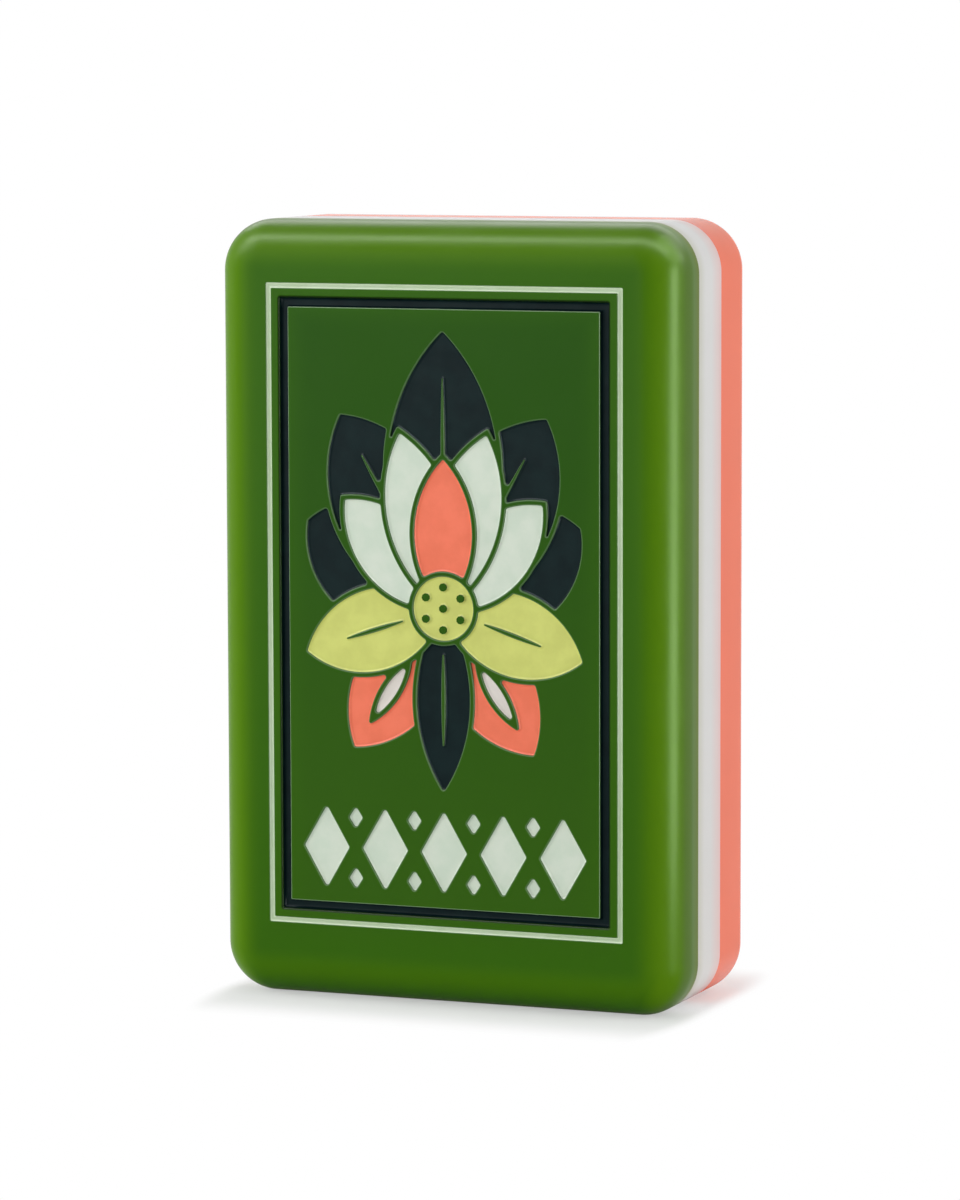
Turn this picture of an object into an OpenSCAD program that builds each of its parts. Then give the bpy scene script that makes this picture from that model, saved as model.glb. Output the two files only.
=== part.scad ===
// Mahjong tile: three bonded layers, with an engraved face whose pockets hold hardened enamel.
// It stands on its short edge: X across, Z up, and the face looks towards -Y.

/* [Block] */
// Height of the standing tile
tile_h = 32; // [28:0.5:40]
// Width of the tile
tile_w = 20.3; // [18:0.1:26]
// Thickness of the green face layer
face_t = 2.3; // [2:0.1:4]
// Thickness of the white core layer
core_t = 2.7; // [1:0.1:6]
// Thickness of the coral back layer
back_t = 3.8; // [1.6:0.1:6]
// Radius of the four corners, seen from the front
corner_r = 2.1; // [1.8:0.1:3.5]
// Radius along the front edge of the face layer
face_edge_r = 1.7; // [0.6:0.1:1.7]
// Radius along the back edge of the back layer
back_edge_r = 1.4; // [0.4:0.1:1.5]

/* [Frame lines] */
// From the tile's sides to the outer line
side_margin = 2.42; // [1.9:0.02:3]
// From the tile's top to the outer line
top_margin = 2.55; // [1.9:0.05:3.5]
// From the tile's base to the outer line
base_margin = 3.14; // [1.9:0.02:3.5]
// Width of the outer line
outer_line_w = 0.21; // [0.16:0.01:0.4]
// Green left between the two lines
line_gap = 0.38; // [0.24:0.02:0.6]
// Width of the inner line
inner_line_w = 0.37; // [0.2:0.01:0.6]
// Depth of the outer line's groove
outer_line_depth = 0.3; // [0.2:0.02:0.6]
// Depth of the inner line's groove
inner_line_depth = 0.5; // [0.3:0.02:0.8]
// Bevel along both rims of the inner groove
groove_bevel = 0.08; // [0.02:0.01:0.12]

/* [Engraving] */
// Depth of the pockets in the picture and the band
pocket_depth = 0.45; // [0.3:0.05:0.8]
// How far the enamel in the pockets lies below the face
pocket_sink = 0.14; // [0.05:0.01:0.25]
// How far the enamel of the inner line lies below the face
inner_line_sink = 0.26; // [0.05:0.01:0.28]
// How far the edges of the outer line's enamel lie below the face
outer_line_sink = 0.04; // [0.02:0.01:0.1]
// How much lower the enamel of the outer line is along its middle
outer_line_dip = 0.06; // [0.02:0.01:0.1]
// Green ridge left between neighbouring inlays
ridge = 0.22; // [0.12:0.02:0.4]

/* [Picture] */
// From the panel's sides to the flower
picture_side_gap = 0.55; // [0.3:0.05:1.5]
// From the panel's top to the flower
picture_top_gap = 0.9; // [0.3:0.05:2]
// From the band to the flower
picture_base_gap = 0.8; // [0.3:0.05:2]
// Height of the seed head's centre above the foot of the flower, as a share of the flower's height
seed_head_rise = 0.4; // [0.36:0.01:0.48]
// Radius of the seed head
seed_head_r = 1.3; // [0.9:0.05:2]
// Radius of each seed, which stands up as a green dot
seed_r = 0.17; // [0.1:0.01:0.25]
// Seeds in the ring round the middle one
ring_seeds = 6; // [4:1:8]
// From the seed head's rim to the ring of seeds
seed_edge = 0.26; // [0.15:0.01:0.35]
// Angle between the tall petals
petal_step = 30; // [26:1:34]
// Width of the tall navy petals
tall_petal_w = 4.8; // [3.6:0.1:5.4]
// Width of the mint petals
mint_petal_w = 2.9; // [2.2:0.1:3.4]
// How far the inner mint petals stop short of the flower's outline, as a share of its reach
mint_inner_setback = 0.3; // [0.2:0.01:0.45]
// How far the outer mint petals stop short of the flower's outline, as a share of its reach
mint_outer_setback = 0.21; // [0.12:0.01:0.35]
// Width of the coral bud
bud_w = 2.5; // [1.6:0.1:3.2]
// How far the bud stops short of the flower's outline, as a share of its reach
bud_setback = 0.46; // [0.36:0.01:0.6]
// Angle of the lime leaves from straight up
leaf_angle = 108; // [100:1:115]
// Width of the lime leaves
leaf_w = 3.3; // [2.4:0.1:4]
// Angle of the coral petals from straight up
coral_angle = 146; // [140:1:152]
// Width of the coral petals
coral_w = 3.6; // [2.6:0.1:4.2]
// Width of the white streak in a coral petal
streak_w = 0.5; // [0.3:0.05:0.8]
// Width of the navy pendant
pendant_w = 2.3; // [1.6:0.1:3]
// Width of the green veins
vein_w = 0.2; // [0.1:0.02:0.3]
// How far a vein or a streak stays inside its petal's ends
vein_end = 1.6; // [1:0.1:2.5]

/* [Band] */
// Height of the ornament band
band_h = 3.4; // [2:0.1:4]
// From the panel's base to the band
band_base_gap = 0.6; // [0.3:0.05:1.5]
// From the panel's sides to the band
band_side_gap = 0.6; // [0.3:0.05:2]
// Lozenges in the band
lozenges = 5; // [3:1:7]
// Height of the small lozenges between them
small_lozenge_h = 0.9; // [0.6:0.1:1.6]
// Width of the small lozenges between them
small_lozenge_w = 0.6; // [0.4:0.1:1]

/* [Hidden] */
$fn = 96;
// How far cutters stand out of the face
over = 0.1;
tile_t = face_t + core_t + back_t;
face_y = -tile_t / 2;
core_y = face_y + face_t;
back_y = core_y + core_t;
green = "#3f6f1f";
enamels = [
    ["mint", "#d5e3d0"],
    ["navy", "#1e2b33"],
    ["lime", "#cdd66a"],
    ["coral", "#f5806c"],
    ["white", "#f4f2ee"]
];

// Frame lines, from the outside in: edges as distances from the tile's sides
inner_line_in = outer_line_w + line_gap;
panel_in = inner_line_in + inner_line_w;
panel_w = tile_w - 2 * (side_margin + panel_in);
panel_base = base_margin + panel_in;
panel_top = tile_h - top_margin - panel_in;

// Ornament band
band_base = panel_base + band_base_gap;
band_w = panel_w - 2 * band_side_gap;
band_pitch = (band_w + small_lozenge_w) / lozenges;
band_z = band_base + band_h / 2;

// Picture: the petals' tips lie on one egg-shaped line round the seed head
picture_base = band_base + band_h + picture_base_gap;
picture_h = panel_top - picture_top_gap - picture_base;
reach_down = picture_h * seed_head_rise;
reach_up = picture_h - reach_down;
reach_side = panel_w / 2 - picture_side_gap;
seed_head_z = picture_base + reach_down;
function reach(angle) =
    1 / norm([sin(angle) / reach_side, cos(angle) / (cos(angle) > 0 ? reach_up : reach_down)]);

// Petals from front to back: name, enamel, angle from straight up, start, tip, width, vein width
hands = [["left", -1], ["right", 1]];
petals = [
    ["coral_bud", "coral", 0, 0, reach(0) * (1 - bud_setback), bud_w, 0],
    for (h = hands)
        let (a = h[1] * petal_step / 2, tip = reach(a) * (1 - mint_inner_setback))
        [str("mint_petal_inner_", h[0]), "mint", a, 0, tip, mint_petal_w, 0],
    for (h = hands)
        let (a = h[1] * petal_step * 3 / 2, tip = reach(a) * (1 - mint_outer_setback))
        [str("mint_petal_outer_", h[0]), "mint", a, 0, tip, mint_petal_w, 0],
    for (h = hands)
        let (a = h[1] * leaf_angle)
        [str("lime_leaf_", h[0]), "lime", a, 0, reach(a), leaf_w, vein_w],
    ["navy_pendant", "navy", 180, 0, reach(180), pendant_w, vein_w],
    for (h = hands)
        let (a = h[1] * coral_angle)
        [str("white_streak_", h[0]), "white", a, seed_head_r + vein_end, reach(a) - vein_end, streak_w, 0],
    for (h = hands)
        let (a = h[1] * coral_angle)
        [str("coral_petal_", h[0]), "coral", a, 0, reach(a), coral_w, 0],
    ["navy_petal_middle", "navy", 0, 0, reach(0), tall_petal_w, vein_w],
    for (h = hands)
        let (a = h[1] * petal_step)
        [str("navy_petal_", h[0]), "navy", a, 0, reach(a), tall_petal_w, vein_w],
    for (h = hands)
        let (a = h[1] * petal_step * 2)
        [str("navy_petal_far_", h[0]), "navy", a, 0, reach(a), tall_petal_w, 0]
];
lozenge_names = [for (i = [1:lozenges]) str("mint_lozenge_", i)];

// Colour of an enamel by its name
function enamel(name) = enamels[search([name], enamels)[0]][1];

// Outline of the tile from the front
module tile_outline() {
    for (x = [-1, 1])
        for (z = [0, 1])
            translate([x * (tile_w / 2 - corner_r), z ? tile_h - corner_r : corner_r])
                circle(corner_r);
    translate([-tile_w / 2, corner_r])
        square([tile_w, tile_h - 2 * corner_r]);
    translate([corner_r - tile_w / 2, 0])
        square([tile_w - 2 * corner_r, tile_h]);
}

// Section through the rim of an outer layer: inwards from the corner's axis, with the edge rounded
module rim_section(t, edge_r) {
    square([corner_r, t - edge_r]);
    square([corner_r - edge_r, t]);
    intersection() {
        translate([corner_r - edge_r, t - edge_r])
            circle(edge_r);
        square([corner_r, t]);
    }
}

// Outer layer lying on its bonded side, with its free edge rounded
module rounded_layer(t, edge_r) {
    long_w = tile_w - 2 * corner_r;
    long_h = tile_h - 2 * corner_r;
    translate([-long_w / 2, -long_h / 2, 0])
        cube([long_w, long_h, t]);
    for (turn = [0, 90, 180, 270]) {
        upright = turn % 180 == 0;
        run = upright ? long_h : long_w;
        side = upright ? long_w : long_h;
        rotate([0, 0, turn])
            translate([side / 2, 0, 0]) {
                translate([0, run / 2, 0])
                    rotate([90, 0, 0])
                        linear_extrude(run)
                            rim_section(t, edge_r);
                translate([0, run / 2, 0])
                    rotate_extrude(angle = 90)
                        rim_section(t, edge_r);
            }
    }
}

// Puts a flat outline into the face: its outside `sink` below the face, and `t` thick
module in_face(sink, t) {
    translate([0, face_y + sink + t, 0])
        rotate([90, 0, 0])
            linear_extrude(t)
                children();
}

// Cutter for a pocket, open to the front
module pocket(depth) {
    in_face(-over, depth + over)
        children();
}

// Frame line with mitred corners. The section's x runs inwards from the line's outer edge and its y
// below the face; `spread` is how far the section reaches past the line on either side
module mitred_line(inset, section_w, depth, spread = 0) {
    w = tile_w - 2 * (side_margin + inset);
    base = base_margin + inset;
    h = tile_h - top_margin - inset - base;
    translate([0, face_y, base + h / 2])
        for (turn = [0, 90, 180, 270]) {
            run = (turn % 180 == 0 ? w : h) / 2;
            side = (turn % 180 == 0 ? h : w) / 2;
            rotate([0, turn, 0])
                intersection() {
                    translate([0, 0, -side])
                        rotate([0, -90, 0])
                            linear_extrude(2 * (run + spread), center = true)
                                children();
                    translate([0, depth, 0])
                        rotate([90, 0, 0])
                            linear_extrude(depth + over)
                                mitre_outline(run, side, -spread, section_w + spread);
                }
        }
}

// One side of a mitred frame, between two distances inwards from its outer edge
module mitre_outline(run, side, from, to) {
    polygon([
        [from - run, from - side],
        [run - from, from - side],
        [run - to, to - side],
        [to - run, to - side]
    ]);
}

// Pointed oval on its long axis, from two arcs; `grow` moves both arcs outwards
module pointed_oval(length, width, grow = 0) {
    arc_r = (length * length + width * width) / (4 * width);
    intersection_for (side = [-1, 1])
        translate([side * (arc_r - width / 2), 0])
            circle(arc_r + grow, $fn = 180);
}

// Petal of the list, where it lies in the face
module petal_outline(p, grow = 0) {
    translate([0, seed_head_z])
        rotate(-p[2])
            translate([0, (p[3] + p[4]) / 2])
                pointed_oval(p[4] - p[3], p[5], grow);
}

// What shows of a petal behind the ones in front of it, less its vein
module petal_field(i) {
    p = petals[i];
    difference() {
        petal_outline(p);
        for (j = [0:1:i - 1])
            petal_outline(petals[j], ridge);
        translate([0, seed_head_z])
            circle(seed_head_r + ridge);
        if (p[6] > 0)
            petal_outline([p[0], p[1], p[2], p[3] + vein_end, p[4] - vein_end, p[6]]);
    }
}

// Round seed head with its seeds left standing
module seed_head_field() {
    ring_r = seed_head_r - seed_edge - seed_r;
    translate([0, seed_head_z])
        difference() {
            circle(seed_head_r);
            circle(seed_r);
            for (i = [0:ring_seeds - 1])
                rotate(i * 360 / ring_seeds)
                    translate([0, ring_r])
                        circle(seed_r);
        }
}

// Upright lozenge round the origin
module lozenge(w, h) {
    polygon([[-w / 2, 0], [0, -h / 2], [w / 2, 0], [0, h / 2]]);
}

// Place of a lozenge in the band, counted from the middle
module in_band(i) {
    translate([(i - (lozenges - 1) / 2) * band_pitch, band_z])
        children();
}

module band_lozenge_field(i) {
    in_band(i)
        lozenge(band_pitch - small_lozenge_w, band_h);
}

module band_dots_field() {
    for (i = [0:lozenges - 2])
        for (side = [-1, 1])
            in_band(i + 0.5)
                translate([0, side * (band_h - small_lozenge_h) / 2])
                    lozenge(small_lozenge_w, small_lozenge_h);
}

// Sections of the grooves and their enamel: x inwards from the line's outer edge, y below the face
module outer_groove_section() {
    translate([0, -over])
        square([outer_line_w, outer_line_depth + over]);
}

module outer_line_section() {
    polygon([
        [0, outer_line_sink],
        [outer_line_w / 2, outer_line_sink + outer_line_dip],
        [outer_line_w, outer_line_sink],
        [outer_line_w, outer_line_depth],
        [0, outer_line_depth]
    ]);
}

module inner_groove_section() {
    polygon([
        [-groove_bevel, 0],
        [-groove_bevel, -over],
        [inner_line_w + groove_bevel, -over],
        [inner_line_w + groove_bevel, 0],
        [inner_line_w, groove_bevel],
        [inner_line_w, inner_line_depth],
        [0, inner_line_depth],
        [0, groove_bevel]
    ]);
}

module inner_line_section() {
    translate([0, inner_line_sink])
        square([inner_line_w, inner_line_depth - inner_line_sink]);
}

module face_layer() {
    color(green)
        difference() {
            translate([0, core_y, tile_h / 2])
                rotate([90, 0, 0])
                    rounded_layer(face_t, face_edge_r);
            mitred_line(0, outer_line_w, outer_line_depth)
                outer_groove_section();
            mitred_line(inner_line_in, inner_line_w, inner_line_depth, groove_bevel)
                inner_groove_section();
            pocket(pocket_depth)
                seed_head_field();
            for (i = [0:len(petals) - 1])
                pocket(pocket_depth)
                    petal_field(i);
            for (i = [0:lozenges - 1])
                pocket(pocket_depth)
                    band_lozenge_field(i);
            pocket(pocket_depth)
                band_dots_field();
        }
}

module core_layer() {
    color("#f1efec")
        translate([0, back_y, 0])
            rotate([90, 0, 0])
                linear_extrude(core_t)
                    tile_outline();
}

module back_layer() {
    color("#ee866c")
        translate([0, back_y, tile_h / 2])
            rotate([-90, 0, 0])
                rounded_layer(back_t, back_edge_r);
}

module mint_outer_line() {
    color(enamel("mint"))
        mitred_line(0, outer_line_w, outer_line_depth)
            outer_line_section();
}

module navy_inner_line() {
    color(enamel("navy"))
        mitred_line(inner_line_in, inner_line_w, inner_line_depth)
            inner_line_section();
}

// Enamel in a pocket
module inlay(colour) {
    color(enamel(colour))
        in_face(pocket_sink, pocket_depth - pocket_sink)
            children();
}

module lime_seed_head() {
    inlay("lime")
        seed_head_field();
}

module petal(i) {
    inlay(petals[i][1])
        petal_field(i);
}

module mint_lozenge(i) {
    inlay("mint")
        band_lozenge_field(i);
}

module mint_band_dots() {
    inlay("mint")
        band_dots_field();
}

face_layer();
core_layer();
back_layer();
mint_outer_line();
navy_inner_line();
lime_seed_head();
for (i = [0:len(petals) - 1])
    petal(i);
for (i = [0:lozenges - 1])
    mint_lozenge(i);
mint_band_dots();
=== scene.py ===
"""A standing mahjong tile: three bonded layers, with an engraved face whose pockets hold hardened enamel.

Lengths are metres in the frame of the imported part: X across, Z up, and the face looks towards -Y.
"""

import math

import bmesh
import bpy
import numpy as np
from mathutils import Matrix, Vector
from mathutils.geometry import delaunay_2d_cdt


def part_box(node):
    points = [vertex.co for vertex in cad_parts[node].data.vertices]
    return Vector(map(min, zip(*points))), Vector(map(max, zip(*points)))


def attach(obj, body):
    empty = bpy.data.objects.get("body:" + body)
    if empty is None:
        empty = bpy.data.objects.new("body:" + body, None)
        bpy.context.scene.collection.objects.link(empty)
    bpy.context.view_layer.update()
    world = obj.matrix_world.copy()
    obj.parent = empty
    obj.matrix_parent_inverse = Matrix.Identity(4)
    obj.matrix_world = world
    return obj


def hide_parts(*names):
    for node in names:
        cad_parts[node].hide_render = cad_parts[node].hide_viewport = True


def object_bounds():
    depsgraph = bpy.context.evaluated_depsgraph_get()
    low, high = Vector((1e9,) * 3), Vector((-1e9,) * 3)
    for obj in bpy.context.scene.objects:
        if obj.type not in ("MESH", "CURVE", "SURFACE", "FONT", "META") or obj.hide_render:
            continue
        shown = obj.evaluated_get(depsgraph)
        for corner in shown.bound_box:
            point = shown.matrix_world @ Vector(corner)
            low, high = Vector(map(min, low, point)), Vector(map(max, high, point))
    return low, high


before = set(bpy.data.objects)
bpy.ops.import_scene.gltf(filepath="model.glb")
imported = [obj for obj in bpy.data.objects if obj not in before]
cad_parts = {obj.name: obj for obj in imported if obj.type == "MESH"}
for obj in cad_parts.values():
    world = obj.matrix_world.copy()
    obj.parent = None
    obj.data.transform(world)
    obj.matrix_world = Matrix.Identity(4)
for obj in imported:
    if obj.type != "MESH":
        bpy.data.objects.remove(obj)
cad_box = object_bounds()

MM = 0.001

# Rounding of the block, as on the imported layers
CORNER_R = 2.1 * MM
FACE_EDGE_R = 1.7 * MM
BACK_EDGE_R = 1.4 * MM
CORNER_STEPS = 24
EDGE_STEPS = 20
CAP_MARGIN = 0.12 * MM

# Engraving: corners as a cutter leaves them, the turn that counts as one, and the steps of the outlines
CUTTER_R = 0.1 * MM
LONGEST_TRIM = 0.3 * MM
LARGEST_TRIM_SHARE = 0.4
CORNER_TURN = math.radians(15)
ARC_STEP = math.radians(18)
OUTLINE_STEP = 0.12 * MM
SHORTEST_STEP = 0.02 * MM
FLAT_TOLERANCE = 0.001 * MM
CAP_TOLERANCE = 1e-6

# Softened rims: radius, and how much painted highlight (above 0) or painted shade (below 0) they get, for
# the lines' two sides
POCKET_RIM = (0.07 * MM, 0.3)
LINE_RIMS = {
    "mint_outer_line": [(0.03 * MM, 0.3), (0.03 * MM, 0.3)],
    "navy_inner_line": [(0.1 * MM, -1.0), (0.07 * MM, 1.0)],
}
RIM_STEPS = 4

# Frame lines: corners of their outlines
LINE_CORNER_R = 0.05 * MM
LINE_CORNER_STEPS = 4

# Enamel: how far it creeps up the walls, and how wide that slope is
MENISCUS_H = 0.06 * MM
MENISCUS_W = 0.09 * MM
MENISCUS_STEPS = 4
LINE_STEPS = 10

# Shading: edges sharper than this show, and on the flat front also gentler ones
SHARP_TURN = math.radians(40)
FRONT_TURN = math.radians(6)
FRONT_NORMAL_Y = -0.9999

# Floor: half its width, how far it lies below the tile, and how far and how strongly the shadow shows on it
FLOOR_HALF = 1.5
FLOOR_DROP = 0.01 * MM
SHADOW_REACH = 6 * MM
SIDE_SHADOW_REACH = 1.6 * MM
SHADOW_SHARE = 0.58
MIRRORED_SHADOW_SHARE = 0.42

# Range of a noise texture's values that is put to use
NOISE_LOW = 0.3
NOISE_HIGH = 0.7

# Camera, fitted to the tile's outline, frame lines and seams
PHOTO_H = 1200
SENSOR_H = 36
CAMERA_AZIMUTH = math.radians(21.68)
CAMERA_ELEVATION = math.radians(6.14)
CAMERA_ROLL = math.radians(-0.158)
CAMERA_DISTANCE = 212.8 * MM
FOCAL_PIXELS = 5162
CAMERA_NEAR = 10 * MM
TARGET_RIGHT = -0.117 * MM
TARGET_UP = 0.292 * MM

# Planes of the block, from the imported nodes
tile_w = cad_box[1].x - cad_box[0].x
tile_h = cad_box[1].z - cad_box[0].z
face_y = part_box("face_layer")[0].y
face_seam_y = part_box("core_layer")[0].y
back_seam_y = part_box("core_layer")[1].y
back_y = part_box("back_layer")[1].y

LAYERS = ["face_layer", "core_layer", "back_layer"]
LINES = ["mint_outer_line", "navy_inner_line"]
FILLS = [name for name in sorted(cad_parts) if name not in LAYERS + LINES]


# Flat outlines: closed rows of (x, z), with what they enclose on their left

def rounded_rectangle(half_w, half_h, radius, steps, middle_z):
    """Rectangle with round corners, counter-clockwise seen from the front."""
    points = []
    for quarter, (side_x, side_z) in enumerate([(1, 1), (-1, 1), (-1, -1), (1, -1)]):
        for angle in np.linspace(0, math.pi / 2, steps + 1) + quarter * math.pi / 2:
            points.append((
                side_x * (half_w - radius) + radius * math.cos(angle),
                middle_z + side_z * (half_h - radius) + radius * math.sin(angle),
            ))
    return np.array(points)


def tile_outline(inset):
    """Outline of the tile, drawn in by an inset all round."""
    return rounded_rectangle(
        tile_w / 2 - inset, tile_h / 2 - inset, CORNER_R - inset, CORNER_STEPS, tile_h / 2)


def packed_outlines(node):
    """Outlines of a packed inlay, from the open edges of its flat underside."""
    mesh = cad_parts[node].data
    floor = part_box(node)[1].y
    numbers = {}
    merged = []
    for vertex in mesh.vertices:
        place = (round(vertex.co.x / MM, 4), round(vertex.co.z / MM, 4))
        merged.append(numbers.setdefault(place, len(numbers)))
    flat = np.array(list(numbers)) * MM
    edges = set()
    for face in mesh.polygons:
        if all(abs(mesh.vertices[i].co.y - floor) < FLAT_TOLERANCE for i in face.vertices):
            corners = [merged[i] for i in face.vertices]
            edges.update(zip(corners, corners[1:] + corners[:1]))
    follow = {b: a for a, b in edges if (b, a) not in edges}
    outlines = []
    while follow:
        row = [min(follow)]
        while (after := follow.pop(row[-1])) != row[0]:
            row.append(after)
        step = np.linalg.norm(flat[row] - flat[np.roll(row, 1)], axis=1)
        outlines.append(flat[row][step > SHORTEST_STEP])
    return outlines


def smooth_curve(points, closed, dense=6):
    """Dense row of points on a smooth curve through the given ones."""
    if len(points) == 2:
        return points
    if closed:
        row = np.vstack([points[-1], points, points[:2]])
    else:
        before = 3 * points[0] - 3 * points[1] + points[2]
        after = 3 * points[-1] - 3 * points[-2] + points[-3]
        row = np.vstack([before, points, after])
    t = np.linspace(0, 1, dense, endpoint=False)[:, None]
    curve = []
    for a, b, c, d in zip(row, row[1:], row[2:], row[3:]):
        curve.append(b + (c - a) / 2 * t + (a - 2.5 * b + 2 * c - d / 2) * t ** 2
                     + (3 * (b - c) + d - a) / 2 * t ** 3)
    return np.vstack(curve + [row[-2]])


def spaced(curve, start, end):
    """Evenly spaced points along a curve, from one distance along it to another."""
    lengths = np.append(0, np.cumsum(np.linalg.norm(np.diff(curve, axis=0), axis=1)))
    count = max(1, math.ceil((end - start) / OUTLINE_STEP))
    at = np.linspace(start, end, count + 1)
    return np.stack([np.interp(at, lengths, curve[:, 0]), np.interp(at, lengths, curve[:, 1])], 1)


def curve_length(curve):
    return np.linalg.norm(np.diff(curve, axis=0), axis=1).sum()


def unit(rows):
    return rows / np.linalg.norm(rows, axis=-1, keepdims=True)


def engraved_outline(points):
    """An outline drawn finer, with its corners rounded as a cutter leaves them."""
    run = unit(np.roll(points, -1, 0) - points)
    turn = np.arccos(np.clip((run * np.roll(run, 1, 0)).sum(1), -1, 1))
    corners = np.flatnonzero(turn > CORNER_TURN)
    if len(corners) == 0:
        curve = smooth_curve(points, closed=True)
        return spaced(curve, 0, curve_length(curve))[:-1]
    curves = []
    for first, last in zip(corners, np.append(corners[1:], corners[0] + len(points))):
        stretch = points[np.arange(first, last + 1) % len(points)]
        curves.append(smooth_curve(stretch, closed=False))
    lengths = [curve_length(curve) for curve in curves]
    trims = []
    turns = []
    for i, curve in enumerate(curves):
        ahead = unit(curve[1] - curve[0])
        behind = unit(curves[i - 1][-1] - curves[i - 1][-2])
        turns.append(math.acos(max(-1.0, min(1.0, float(ahead @ behind)))))
        shortest = min(lengths[i - 1], lengths[i])
        trims.append(min(CUTTER_R * math.tan(turns[i] / 2), LONGEST_TRIM, LARGEST_TRIM_SHARE * shortest))
    rows = []
    for i, curve in enumerate(curves):
        following = (i + 1) % len(curves)
        row = spaced(curve, trims[i], lengths[i] - trims[following])
        after = curves[following]
        next_start = spaced(after, trims[following], lengths[following])[0]
        rows.append(row)
        rows.append(corner_arc(row[-1], curve[-1], next_start, turns[following]))
    return np.vstack(rows)


def corner_arc(start, corner, end, turn):
    """Points between the ends of an arc that rounds a corner."""
    count = math.ceil(turn / ARC_STEP)
    t = np.linspace(0, 1, count + 1)[1:-1, None]
    weight = math.cos(turn / 2)
    parts = ((1 - t) ** 2, 2 * weight * t * (1 - t), t ** 2)
    return (parts[0] * start + parts[1] * corner + parts[2] * end) / sum(parts)


def left_normals(outline):
    run = unit(np.roll(outline, -1, 0) - np.roll(outline, 1, 0))
    return np.stack([-run[:, 1], run[:, 0]], 1)


def wall_distance(points, walls):
    """Distance from each point to the nearest of the walls' stretches."""
    low = points.min(0) - MM
    high = points.max(0) + MM
    starts = np.vstack(walls)
    ends = np.vstack([np.roll(wall, -1, 0) for wall in walls])
    near = ((starts > low) & (starts < high)).all(1) | ((ends > low) & (ends < high)).all(1)
    starts = starts[near]
    run = ends[near] - starts
    along = ((points[:, None] - starts) * run).sum(2) / (run ** 2).sum(1)
    nearest = starts + np.clip(along, 0, 1)[..., None] * run
    return np.linalg.norm(points[:, None] - nearest, axis=2).min(1)


def free_reach(outline, normals, most, walls):
    """How far each point can move along its normal and stay well clear of the wall across from it."""
    clear_share = 0.8
    nearest_share = 0.95
    shrink = 0.85
    reach = np.full(len(outline), most)
    for _ in range(24):
        probe = reach / clear_share
        tight = wall_distance(outline + normals * probe[:, None], walls) < nearest_share * probe
        if not tight.any():
            break
        reach[tight] *= shrink
    for _ in range(4):
        reach = np.minimum(reach, (np.roll(reach, 1) + 2 * reach + np.roll(reach, -1)) / 4)
    return reach


def encloses(points, outlines):
    """Which points lie inside an odd number of outlines."""
    inside = np.zeros(len(points), bool)
    for outline in outlines:
        ahead = np.roll(outline, -1, 0)
        above = (outline[:, 1] > points[:, 1, None]) != (ahead[:, 1] > points[:, 1, None])
        rise = np.where(ahead[:, 1] == outline[:, 1], 1, ahead[:, 1] - outline[:, 1])
        slope = (ahead[:, 0] - outline[:, 0]) / rise
        cross = outline[:, 0] + (points[:, 1, None] - outline[:, 1]) * slope
        inside ^= (above & (points[:, 0, None] < cross)).sum(1) % 2 == 1
    return inside


class Shell:
    """Gathers the points and faces of one closed mesh."""

    def __init__(self):
        self.points = []
        self.rims = []
        self.faces = []

    def ring(self, outline, depth, rim=0.0):
        """Adds an outline at a depth, or at a depth for each point, and returns its points' numbers.

        The rim value says how much painted highlight (above 0) or painted shade (below 0) a softened edge
        gets there, for the material.
        """
        first = len(self.points)
        for (x, z), y in zip(outline, np.broadcast_to(depth, len(outline))):
            self.points.append((x, y, z))
            self.rims.append(rim)
        return list(range(first, len(self.points)))

    def strip(self, ring, other):
        """Joins two rings of one count."""
        for i in range(len(ring)):
            j = (i + 1) % len(ring)
            self.faces.append((ring[i], ring[j], other[j], other[i]))

    def cap(self, rings):
        """Fills the flat space between rings, where an odd number of them enclose it."""
        outlines = [np.array([self.points[i] for i in ring])[:, [0, 2]] / MM for ring in rings]
        numbers = [i for ring in rings for i in ring]
        edges = []
        for ring in rings:
            first = len(edges)
            edges += [(first + i, first + (i + 1) % len(ring)) for i in range(len(ring))]
        flat = [Vector(point) for point in np.vstack(outlines)]
        corners, _, faces, origins, _, _ = delaunay_2d_cdt(flat, edges, [], 0, CAP_TOLERANCE)
        if len(corners) != len(numbers):
            crossing = [tuple(corners[i]) for i in range(len(corners)) if len(origins[i]) != 1]
            raise ValueError(f"outlines in one plane cross or touch at {crossing} mm")
        centres = np.array([np.mean([corners[i] for i in face], axis=0) for face in faces])
        for face, filled in zip(faces, encloses(centres, outlines)):
            if filled:
                self.faces.append(tuple(numbers[origins[i][0]] for i in face))

    def piece(self, name, node, material):
        """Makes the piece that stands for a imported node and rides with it."""
        mesh = bpy.data.meshes.new(name)
        mesh.from_pydata(self.points, [], self.faces)
        work = bmesh.new()
        work.from_mesh(mesh)
        bmesh.ops.recalc_face_normals(work, faces=work.faces)
        for face in work.faces:
            face.smooth = True
        for edge in work.edges:
            turn = edge.calc_face_angle(math.pi)
            front = any(face.normal.y < FRONT_NORMAL_Y for face in edge.link_faces)
            edge.smooth = turn < (FRONT_TURN if front else SHARP_TURN)
        work.to_mesh(mesh)
        work.free()
        if any(self.rims):
            mesh.attributes.new("rim", "FLOAT", "POINT").data.foreach_set("value", self.rims)
        mesh.materials.append(material)
        piece = bpy.data.objects.new(name, mesh)
        bpy.context.scene.collection.objects.link(piece)
        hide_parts(node)
        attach(piece, "root")
        return piece


def slot_of(node):
    """The record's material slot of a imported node."""
    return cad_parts[node].data.materials[0].name


# The block

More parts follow.
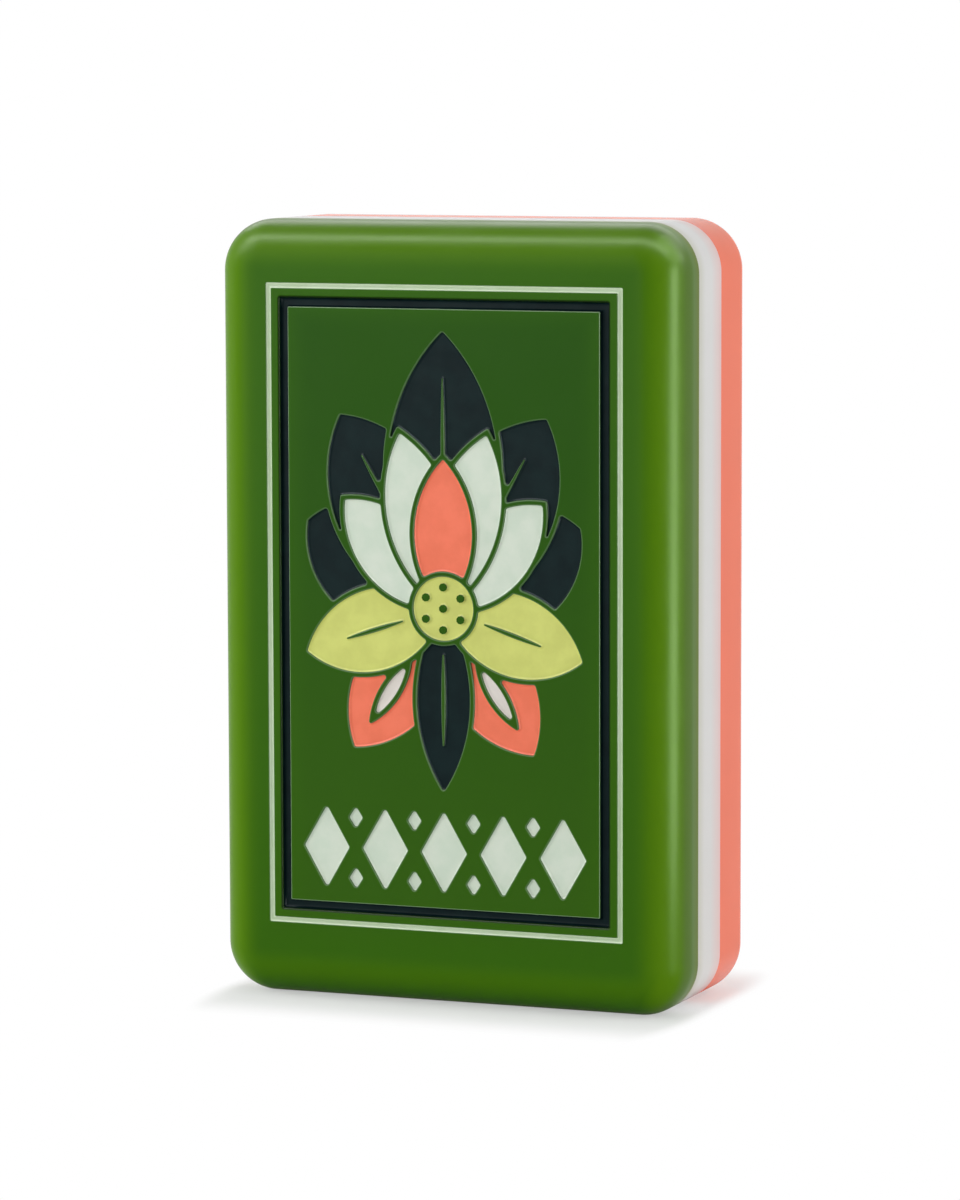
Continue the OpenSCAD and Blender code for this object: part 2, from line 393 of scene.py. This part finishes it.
def rounded_rings(shell, seam, free, edge_r):
    """Rings from a layer's bonded side over its rounded edge to just inside its flat cap."""
    outwards = math.copysign(1, free - seam)
    rings = [shell.ring(tile_outline(0), seam)]
    for angle in np.linspace(0, math.pi / 2, EDGE_STEPS + 1):
        inset = edge_r * (1 - math.cos(angle))
        depth = free - outwards * edge_r * (1 - math.sin(angle))
        rings.append(shell.ring(tile_outline(inset), depth))
    rings.append(shell.ring(tile_outline(edge_r + CAP_MARGIN), free))
    for ring, other in zip(rings, rings[1:]):
        shell.strip(ring, other)
    return rings


def build_face(pockets, material):
    """Green layer with every pocket and groove cut into its front."""
    shell = Shell()
    rings = rounded_rings(shell, face_seam_y, face_y, FACE_EDGE_R)
    walls = [outline for outlines in pockets.values() for outline in outlines]
    openings = []
    for node, outlines in pockets.items():
        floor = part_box(node)[1].y
        floor_rings = []
        rims = LINE_RIMS.get(node, [POCKET_RIM] * len(outlines))
        for outline, (rim_r, tone) in zip(outlines, rims):
            outwards = -left_normals(outline)
            rim = free_reach(outline, outwards, rim_r, walls)
            profile = []
            for angle in np.linspace(0, math.pi / 2, RIM_STEPS + 1):
                away = outwards * (rim * (1 - math.sin(angle)))[:, None]
                depth = face_y + rim * (1 - math.cos(angle))
                # Painted highlight or painted shade along the rim, from its tone, strongest half way round
                # it.
                profile.append(shell.ring(outline + away, depth, tone * math.sin(2 * angle)))
            profile.append(shell.ring(outline, floor))
            for ring, other in zip(profile, profile[1:]):
                shell.strip(ring, other)
            openings.append(profile[0])
            floor_rings.append(profile[-1])
        shell.cap(floor_rings)
    shell.cap([rings[-1]] + openings)
    shell.cap([rings[0]])
    shell.piece("green_face", "face_layer", material)


def build_core(material):
    shell = Shell()
    front = shell.ring(tile_outline(0), face_seam_y)
    back = shell.ring(tile_outline(0), back_seam_y)
    shell.strip(front, back)
    shell.cap([front])
    shell.cap([back])
    shell.piece("white_core", "core_layer", material)


def build_back(material):
    shell = Shell()
    rings = rounded_rings(shell, back_seam_y, back_y, BACK_EDGE_R)
    shell.cap([rings[0]])
    shell.cap([rings[-1]])
    shell.piece("coral_back", "back_layer", material)


# The enamel

def line_size(node):
    """Half width, half height, middle height and thickness of a frame line."""
    low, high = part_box(node)
    outer, inner = sorted(packed_outlines(node), key=lambda outline: -np.ptp(outline[:, 0]))
    thickness = (np.ptp(outer[:, 0]) - np.ptp(inner[:, 0])) / 2
    return (high.x - low.x) / 2, (high.z - low.z) / 2, (high.z + low.z) / 2, thickness


def line_outline(size, inset):
    half_w, half_h, middle_z, _ = size
    return rounded_rectangle(half_w - inset, half_h - inset, LINE_CORNER_R, LINE_CORNER_STEPS, middle_z)


def line_walls(node):
    size = line_size(node)
    return [line_outline(size, 0), line_outline(size, size[3])[::-1]]


def build_line(node, material, edge_depth, dip, flatness):
    """Enamel in a frame line: a hollow all round, lowest along its middle."""
    size = line_size(node)
    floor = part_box(node)[1].y
    shell = Shell()
    rings = [shell.ring(line_outline(size, 0), floor)]
    for turn in np.linspace(0, math.pi, LINE_STEPS + 1):
        hollow = dip * (1 - abs(math.cos(turn)) ** flatness)
        inset = size[3] * (1 - math.cos(turn)) / 2
        rings.append(shell.ring(line_outline(size, inset), face_y + edge_depth + hollow))
    rings.append(shell.ring(line_outline(size, size[3]), floor))
    for ring, other in zip(rings, rings[1:] + rings[:1]):
        shell.strip(ring, other)
    shell.piece(node + ".fill", node, material)


def build_fill(node, outlines, material):
    """Enamel in a pocket: level, and drawn up a little along its walls."""
    level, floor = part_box(node)[0].y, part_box(node)[1].y
    shell = Shell()
    level_rings = []
    floor_rings = []
    for outline in outlines:
        inwards = left_normals(outline)
        slope = free_reach(outline, inwards, MENISCUS_W, outlines)
        profile = [shell.ring(outline, floor)]
        for part in np.linspace(0, 1, MENISCUS_STEPS + 1):
            rise = MENISCUS_H * slope / MENISCUS_W * (1 - part) ** 2
            profile.append(shell.ring(outline + inwards * (slope * part)[:, None], level - rise))
        for ring, other in zip(profile, profile[1:]):
            shell.strip(ring, other)
        floor_rings.append(profile[0])
        level_rings.append(profile[-1])
    shell.cap(level_rings)
    shell.cap(floor_rings)
    shell.piece(node + ".fill", node, material)


# Materials

def wire(tree, kind, inputs, output=0, **settings):
    """Adds a shader node, sets or links its inputs, and returns one of its outputs."""
    node = tree.nodes.new("ShaderNode" + kind)
    for name, value in settings.items():
        setattr(node, name, value)
    for key, value in inputs.items():
        if isinstance(value, bpy.types.NodeSocket):
            tree.links.new(value, node.inputs[key])
        else:
            node.inputs[key].default_value = value
    return node.outputs[output]


def new_material(name, roughness, specular):
    material = bpy.data.materials.new(name)
    material.use_nodes = True
    shader = material.node_tree.nodes["Principled BSDF"]
    shader.inputs["Roughness"].default_value = roughness
    shader.inputs["Specular IOR Level"].default_value = specular
    return material, material.node_tree, shader


def object_place(tree):
    return wire(tree, "TexCoord", {}, "Object")


def noise(tree, place, size, detail=3.0, roughness=0.5):
    """Cloudy values from 0 to 1, with features of about that size."""
    inputs = {"Vector": place, "Scale": 1 / size, "Detail": detail, "Roughness": roughness}
    return wire(tree, "TexNoise", inputs)


def remap(tree, value, low, high, to_low=0.0, to_high=1.0, smooth=True):
    inputs = {"Value": value, "From Min": low, "From Max": high, "To Min": to_low, "To Max": to_high}
    kind = "SMOOTHSTEP" if smooth else "LINEAR"
    return wire(tree, "MapRange", inputs, interpolation_type=kind)


def math_of(tree, operation, first, second=0.0):
    return wire(tree, "Math", {0: first, 1: second}, operation=operation)


def blend(tree, share, first, second):
    """Mixes two colours, each three numbers or a socket."""
    colours = [c if isinstance(c, bpy.types.NodeSocket) else (*c, 1) for c in (first, second)]
    return wire(tree, "Mix", {0: share, 6: colours[0], 7: colours[1]}, 2, data_type="RGBA")


def drift(tree, place, size, to_low, to_high, detail=3.0):
    """A value that drifts between two ends, in patches of about that size."""
    return remap(tree, noise(tree, place, size, detail), NOISE_LOW, NOISE_HIGH, to_low, to_high)


def uneven_gloss(tree, shader, place, size, low, high):
    """Lets the roughness drift between two values."""
    tree.links.new(drift(tree, place, size, low, high), shader.inputs["Roughness"])


def bump(tree, shader, height, strength, distance):
    inputs = {"Height": height, "Strength": strength, "Distance": distance}
    tree.links.new(wire(tree, "Bump", inputs), shader.inputs["Normal"])


def axis(tree, place, name):
    parts = tree.nodes.new("ShaderNodeSeparateXYZ")
    tree.links.new(place, parts.inputs[0])
    return parts.outputs[name]


def past(tree, value, limit):
    """How far a value lies beyond a limit, to either side of zero."""
    return math_of(tree, "SUBTRACT", math_of(tree, "ABSOLUTE", value), limit)


def length_of(tree, first, second):
    """Length of a flat vector with these two parts."""
    square = math_of(tree, "ADD", math_of(tree, "POWER", first, 2), math_of(tree, "POWER", second, 2))
    return math_of(tree, "SQRT", square)


def edge_distance(tree, place):
    """Distance inwards from the tile's outline, seen from the front."""
    up = math_of(tree, "SUBTRACT", axis(tree, place, "Z"), tile_h / 2)
    past_x = past(tree, axis(tree, place, "X"), tile_w / 2 - CORNER_R)
    past_z = past(tree, up, tile_h / 2 - CORNER_R)
    outside = length_of(tree, math_of(tree, "MAXIMUM", past_x), math_of(tree, "MAXIMUM", past_z))
    inside = math_of(tree, "MINIMUM", math_of(tree, "MAXIMUM", past_x, past_z))
    return math_of(tree, "SUBTRACT", CORNER_R, math_of(tree, "ADD", outside, inside))


def green_acrylic():
    """Deep green, with painted glow: lighter and yellower towards the rounded rim, where light gets through
    it.
    """
    material, tree, shader = new_material("green_acrylic", 0.31, 0.06)
    place = object_place(tree)
    clouds = noise(tree, place, 6 * MM)
    panel = blend(tree, clouds, (0.014, 0.076, 0.0), (0.02, 0.088, 0.001))
    low = remap(tree, axis(tree, place, "Z"), 0.0, 0.8 * tile_h, 1.0, 0.0)
    panel = blend(tree, low, panel, (0.032, 0.108, 0.003))
    # Painted glow of light through the acrylic: a lighter border band and a lighter, yellower rim, left off
    # the base except at the sides, where the floor shades it.
    inwards = edge_distance(tree, place)
    border = blend(tree, remap(tree, inwards, 2.0 * MM, 4.5 * MM, 1.0, 0.0), panel, (0.033, 0.122, 0.001))
    rim = remap(tree, inwards, 0.6 * MM, 2.1 * MM, 1.0, 0.0)
    above_base = remap(tree, axis(tree, place, "Z"), 0.2 * MM, 2.2 * MM)
    sideways = math_of(tree, "ABSOLUTE", axis(tree, place, "X"))
    at_side = remap(tree, sideways, tile_w / 2 - CORNER_R, tile_w / 2 - 0.4 * CORNER_R)
    lit = math_of(tree, "MULTIPLY", rim, math_of(tree, "MAXIMUM", above_base, at_side))
    colour = blend(tree, lit, border, (0.085, 0.205, 0.0))
    # Painted sheen: greyer green on the sides, where light from the side reflects.
    depth = axis(tree, place, "Y")
    painted_side_sheen = remap(tree, depth, face_y + 0.7 * MM, face_y + 1.2 * MM)
    colour = blend(tree, painted_side_sheen, colour, (0.095, 0.178, 0.03))
    # Painted glow: lighter, yellower green by the white seam, as light from the white layer bleeds in.
    seam = remap(tree, depth, face_seam_y - 0.6 * MM, face_seam_y)
    colour = blend(tree, seam, colour, (0.118, 0.17, 0.014))
    # Painted highlight: paler green on softened rims where the rim value is above 0; painted shade: near
    # black where it is below 0.
    cut = wire(tree, "Attribute", {}, "Fac", attribute_name="rim")
    colour = blend(tree, remap(tree, cut, 0.0, 1.0, smooth=False), colour, (0.28, 0.42, 0.24))
    colour = blend(tree, remap(tree, cut, 0.0, -1.0, smooth=False), colour, (0.006, 0.016, 0.002))
    tree.links.new(colour, shader.inputs["Base Color"])
    uneven_gloss(tree, shader, place, 2.5 * MM, 0.285, 0.335)
    bump(tree, shader, noise(tree, place, 0.25 * MM), 0.15, 0.004 * MM)
    return material


def white_core():
    """White, with painted light bled in from the layers beside it: a little darker and yellower by the
    green seam and pinker by the coral one.
    """
    material, tree, shader = new_material("white_core", 0.22, 0.1)
    place = object_place(tree)
    depth = axis(tree, place, "Y")
    plain = blend(tree, noise(tree, place, 4 * MM), (0.685, 0.68, 0.665), (0.705, 0.70, 0.69))
    # Painted light bled in from the green layer: the white turns a little darker and yellower near that
    # seam.
    painted_green_tint = remap(tree, depth, face_seam_y, face_seam_y + 0.9 * MM, 1.0, 0.0)
    colour = blend(tree, painted_green_tint, plain, (0.60, 0.60, 0.53))
    # Painted light bled in from the coral layer: the white turns pink near that seam.
    painted_coral_tint = remap(tree, depth, back_seam_y - 1.2 * MM, back_seam_y, smooth=False)
    colour = blend(tree, painted_coral_tint, colour, (0.77, 0.55, 0.54))
    tree.links.new(colour, shader.inputs["Base Color"])
    uneven_gloss(tree, shader, place, 2 * MM, 0.19, 0.25)
    bump(tree, shader, noise(tree, place, 0.3 * MM), 0.15, 0.004 * MM)
    return material


def coral_back():
    material, tree, shader = new_material("coral_back", 0.22, 0.08)
    place = object_place(tree)
    colour = blend(tree, noise(tree, place, 5 * MM), (0.85, 0.162, 0.077), (0.90, 0.182, 0.092))
    tree.links.new(colour, shader.inputs["Base Color"])
    uneven_gloss(tree, shader, place, 2 * MM, 0.19, 0.25)
    bump(tree, shader, noise(tree, place, 0.3 * MM), 0.15, 0.004 * MM)
    return material


def enamel(name, dark, light, roughness, specular):
    """Hardened enamel: a little uneven in tone, gloss and level."""
    material, tree, shader = new_material(name, roughness, specular)
    place = object_place(tree)
    tone = drift(tree, place, 0.9 * MM, 0.0, 1.0, detail=4.0)
    tree.links.new(blend(tree, tone, dark, light), shader.inputs["Base Color"])
    uneven_gloss(tree, shader, place, 0.6 * MM, roughness - 0.05, roughness + 0.05)
    bump(tree, shader, noise(tree, place, 0.35 * MM), 0.2, 0.008 * MM)
    return material


def line_enamel():
    """Mint enamel in the fine outer line, painted lighter along its edges and darker along its middle:
    painted highlight and shade on its hollow.
    """
    half_w, half_h, middle_z, thickness = line_size("mint_outer_line")
    material, tree, shader = new_material("mint_line_enamel", 0.35, 0.12)
    place = object_place(tree)
    past_x = past(tree, axis(tree, place, "X"), half_w)
    past_z = past(tree, math_of(tree, "SUBTRACT", axis(tree, place, "Z"), middle_z), half_h)
    past_middle = math_of(tree, "ADD", math_of(tree, "MAXIMUM", past_x, past_z), thickness / 2)
    # Painted highlight along the line's two edges, painted shade along its middle.
    edge = remap(tree, math_of(tree, "ABSOLUTE", past_middle), 0.0, thickness / 2)
    colour = blend(tree, edge, (0.45, 0.57, 0.37), (0.64, 0.77, 0.54))
    tone = drift(tree, place, 0.9 * MM, 0.0, 0.25)
    tree.links.new(blend(tree, tone, colour, (0.69, 0.765, 0.655)), shader.inputs["Base Color"])
    uneven_gloss(tree, shader, place, 0.6 * MM, 0.3, 0.4)
    bump(tree, shader, noise(tree, place, 0.35 * MM), 0.2, 0.004 * MM)
    return material


def make_materials():
    return {
        "green_face": green_acrylic(),
        "white_core": white_core(),
        "coral_back": coral_back(),
        "mint_enamel": enamel("mint_enamel", (0.62, 0.72, 0.60), (0.69, 0.765, 0.655), 0.35, 0.12),
        "navy_enamel": enamel("navy_enamel", (0.002, 0.010, 0.0115), (0.004, 0.015, 0.016), 0.34, 0.06),
        "lime_enamel": enamel("lime_enamel", (0.585, 0.62, 0.16), (0.65, 0.69, 0.185), 0.35, 0.12),
        "coral_enamel": enamel("coral_enamel", (0.86, 0.185, 0.10), (0.93, 0.21, 0.12), 0.35, 0.12),
        "white_enamel": enamel("white_enamel", (0.73, 0.68, 0.63), (0.79, 0.735, 0.69), 0.35, 0.12),
    }


# Studio

def seen_share(tree):
    """1 for rays that show the background: straight, mirrored or through glass."""
    path = tree.nodes.new("ShaderNodeLightPath")
    shown = math_of(tree, "MAXIMUM", path.outputs["Is Camera Ray"], path.outputs["Is Glossy Ray"])
    return math_of(tree, "MAXIMUM", shown, path.outputs["Is Transmission Ray"])


def build_world(ambient):
    """White where it is seen, and a plain soft light from all round."""
    world = bpy.data.worlds.new("studio")
    bpy.context.scene.world = world
    world.use_nodes = True
    tree = world.node_tree
    strength = remap(tree, seen_share(tree), 0.0, 1.0, ambient, 1.0, smooth=False)
    background = tree.nodes["Background"]
    background.inputs["Color"].default_value = (1, 1, 1, 1)
    tree.links.new(strength, background.inputs["Strength"])


def footprint_distance(tree, place):
    """Distance from the tile's foot on the floor, told longer to its sides, where the shadow is shorter."""
    past_side = past(tree, axis(tree, place, "X"), tile_w / 2 - CORNER_R / 2)
    past_front = past(tree, axis(tree, place, "Y"), back_y - BACK_EDGE_R)
    stretch = SHADOW_REACH / SIDE_SHADOW_REACH
    side = math_of(tree, "MULTIPLY", math_of(tree, "MAXIMUM", past_side), stretch)
    return length_of(tree, side, math_of(tree, "MAXIMUM", past_front))


def build_floor():
    """Plain white floor, which takes the tile's shadow near it and fades into the background."""
    mesh = bpy.data.meshes.new("floor")
    signs = [(-1, -1), (1, -1), (1, 1), (-1, 1)]
    corners = [(x * FLOOR_HALF, y * FLOOR_HALF, -FLOOR_DROP) for x, y in signs]
    mesh.from_pydata(corners, [], [(0, 1, 2, 3)])
    floor = bpy.data.objects.new("floor", mesh)
    bpy.context.scene.collection.objects.link(floor)
    material = bpy.data.materials.new("floor")
    material.use_nodes = True
    tree = material.node_tree
    tree.nodes.remove(tree.nodes["Principled BSDF"])
    place = object_place(tree)
    distance = footprint_distance(tree, place)
    near = remap(tree, distance, SHADOW_REACH / 3, SHADOW_REACH, SHADOW_SHARE, 0.0)
    contact = remap(tree, distance, 0.0, SHADOW_REACH / 2, MIRRORED_SHADOW_SHARE, 0.0)
    mirrored = wire(tree, "LightPath", {}, "Is Glossy Ray")
    near = math_of(tree, "ADD", near, math_of(tree, "MULTIPLY", mirrored, contact))
    shade = wire(tree, "BsdfDiffuse", {"Color": (0.9, 0.9, 0.9, 1)})
    glow = wire(tree, "Emission", {"Color": (1, 1, 1, 1), "Strength": 1.0})
    share = math_of(tree, "MULTIPLY", seen_share(tree), math_of(tree, "SUBTRACT", 1.0, near))
    mixed = wire(tree, "MixShader", {0: share, 1: shade, 2: glow})
    tree.links.new(mixed, tree.nodes["Material Output"].inputs["Surface"])
    mesh.materials.append(material)


def build_lamp(name, direction, distance, width, height, radiance, matte=True, mirrored=True):
    """Rectangular softbox that faces the middle of the tile, given by how bright its own face is.

    It can be left out of matte shading, or out of mirrored highlights.
    """
    data = bpy.data.lights.new(name, "AREA")
    data.shape = "RECTANGLE"
    data.size = width
    data.size_y = height
    data.energy = radiance * math.pi * width * height
    lamp = bpy.data.objects.new(name, data)
    aim = Vector(direction).normalized()
    lamp.matrix_world = Matrix.Translation(Vector((0, 0, tile_h / 2)) + aim * distance) @ (
        aim.to_track_quat("Z", "Y").to_matrix().to_4x4())
    lamp.visible_camera = False
    lamp.visible_diffuse = matte
    lamp.visible_glossy = mirrored
    bpy.context.scene.collection.objects.link(lamp)


def build_lamps():
    """Each lamp has its direction from the tile, distance, width, height and brightness."""
    build_lamp("front_softbox", (-0.5, -0.83, 0.2), 0.16, 0.12, 0.12, 2.5)
    build_lamp("left_softbox", (-0.97, -0.05, 0.12), 0.25, 0.06, 0.2, 7.5, mirrored=False)
    build_lamp("right_softbox", (0.97, 0.05, 0.15), 0.3, 0.2, 0.2, 2.9)
    build_lamp("back_fill", (-0.12, 0.98, 0.12), 0.3, 0.2, 0.2, 2.6, mirrored=False)
    build_lamp("overhead_strip", (0, -0.33, 0.88), 0.3, 0.6, 0.07, 28, matte=False)
    build_lamp("left_corner_softbox", (-0.7, -0.33, 0.62), 0.3, 0.16, 0.16, 11, matte=False)
    build_lamp("right_corner_softbox", (0.65, 0.08, 0.7), 0.3, 0.25, 0.27, 14, matte=False)
    build_lamp("right_strip", (0.963, -0.272, -0.08), 0.041, 0.012, 0.052, 28, matte=False)
    build_lamp("back_softbox", (-0.1, 0.69, 0.72), 0.4, 0.62, 0.2, 4.5, matte=False)


def build_camera():
    back = Vector((
        math.sin(CAMERA_AZIMUTH) * math.cos(CAMERA_ELEVATION),
        -math.cos(CAMERA_AZIMUTH) * math.cos(CAMERA_ELEVATION),
        math.sin(CAMERA_ELEVATION),
    ))
    right = Vector((0, 0, 1)).cross(back).normalized()
    up = back.cross(right)
    eye = Vector((0, 0, tile_h / 2)) + right * TARGET_RIGHT + up * TARGET_UP + back * CAMERA_DISTANCE
    upright = Matrix((right, up, back)).transposed().to_4x4()
    data = bpy.data.cameras.new("camera")
    data.sensor_fit = "AUTO"
    data.sensor_width = SENSOR_H
    data.lens = FOCAL_PIXELS * SENSOR_H / PHOTO_H
    data.clip_start = CAMERA_NEAR
    camera = bpy.data.objects.new("camera", data)
    camera.matrix_world = Matrix.Translation(eye) @ upright @ Matrix.Rotation(CAMERA_ROLL, 4, "Z")
    bpy.context.scene.collection.objects.link(camera)
    bpy.context.scene.camera = camera


def build_tile():
    materials = make_materials()
    pockets = {node: line_walls(node) for node in LINES}
    for node in FILLS:
        pockets[node] = [engraved_outline(outline) for outline in packed_outlines(node)]
    build_face(pockets, materials["green_face"])
    build_core(materials["white_core"])
    build_back(materials["coral_back"])
    build_line("mint_outer_line", line_enamel(), edge_depth=0.035 * MM, dip=0.06 * MM, flatness=2)
    build_line("navy_inner_line", materials["navy_enamel"], edge_depth=0.08 * MM, dip=0.18 * MM, flatness=8)
    for node in FILLS:
        build_fill(node, pockets[node], materials[slot_of(node)])


bpy.context.scene.view_settings.view_transform = "Standard"
build_tile()
build_floor()
build_world(ambient=0.5)
build_lamps()
build_camera()
